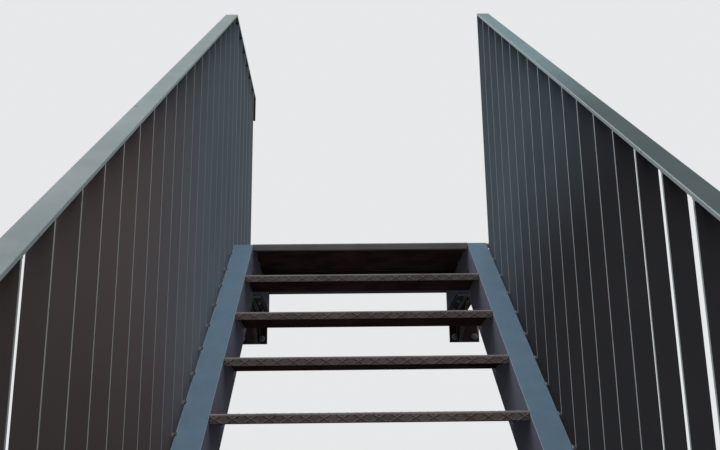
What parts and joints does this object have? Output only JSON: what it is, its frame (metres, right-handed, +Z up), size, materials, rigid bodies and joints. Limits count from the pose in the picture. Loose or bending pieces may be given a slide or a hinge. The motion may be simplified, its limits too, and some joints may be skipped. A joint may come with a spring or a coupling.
{
  "type": "fire escape stair",
  "caption": "Wall-hung steel fire escape stair: channel stringers, open folded-plate treads, edge-on slat guards with flat-bar rails, and a small landing on knee brackets.",
  "frame": {"origin": "middle of the wall angle's back face, level with the landing's walking surface", "axes": "+Y square to the wall and into it, +Z up, +X to the right for a person who climbs the flight"},
  "size_m": [1.075, 4.244, 3.432],
  "materials": {
    "frame_paint": "satin blue-grey paint, weathered",
    "rail_paint": "satin blue-grey paint, weathered",
    "slat_paint": "satin dark grey paint, dusty",
    "tread_plate": "worn painted checker plate",
    "deck_plate": "worn painted checker plate",
    "bracket_paint": "satin dark grey paint",
    "foot_plate": "satin dark grey paint, rusty at the edges"
  },
  "bodies": {
    "root": {"stringer_left": "frame_paint", "stringer_right": "frame_paint", "tread_01": "tread_plate", "tread_02": "tread_plate", "tread_03": "tread_plate", "tread_04": "tread_plate", "tread_05": "tread_plate", "tread_06": "tread_plate", "tread_07": "tread_plate", "tread_08": "tread_plate", "tread_09": "tread_plate", "tread_10": "tread_plate", "tread_11": "tread_plate", "tread_12": "tread_plate", "tread_13": "tread_plate", "base_plate_left": "foot_plate", "base_plate_right": "foot_plate", "balusters_left": "slat_paint", "balusters_right": "slat_paint", "rail_left": "rail_paint", "rail_right": "rail_paint", "landing_deck": "deck_plate", "landing_front_angle": "bracket_paint", "landing_joist": "bracket_paint", "landing_side_left": "frame_paint", "landing_side_right": "frame_paint", "landing_wall_angle": "frame_paint", "wall_bracket_left": "bracket_paint", "wall_bracket_right": "bracket_paint", "landing_balusters": "slat_paint", "landing_rail": "rail_paint", "landing_rail_plate": "bracket_paint"}
  },
  "joints": []
}
